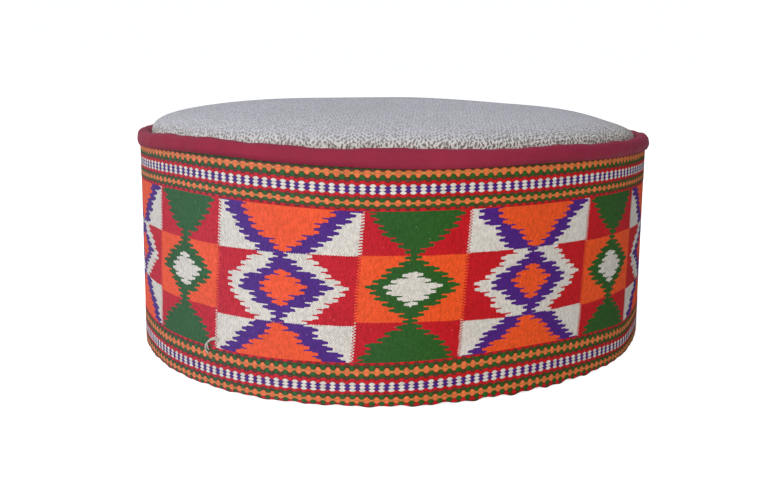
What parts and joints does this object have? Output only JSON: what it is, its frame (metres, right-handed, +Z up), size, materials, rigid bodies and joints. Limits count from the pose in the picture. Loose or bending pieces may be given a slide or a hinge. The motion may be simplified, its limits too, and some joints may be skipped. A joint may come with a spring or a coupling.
{
  "type": "kullu cap",
  "caption": "Round woollen cap with a low domed tweed top and a turned-up flap faced with a patterned woven band, bound at its edge.",
  "frame": {"origin": "on the ground that the cap rests on, under the middle of its bounding box", "axes": "+Z up through the crown, -Y towards the front of the cap, +X towards the right seen from the front"},
  "size_m": [0.1864, 0.2007, 0.0858],
  "materials": {
    "tweed": "light grey-beige herringbone wool tweed with brown flecks, dry and slightly hairy",
    "woven_wool": "weft-faced woollen weave in red, orange, green, purple and cream, matt",
    "binding_cloth": "plain maroon cloth strip with a soft sheen"
  },
  "bodies": {
    "root": {"crown_top": "tweed", "crown_side": "tweed", "woven_band": "woven_wool", "binding": "binding_cloth"}
  },
  "joints": []
}
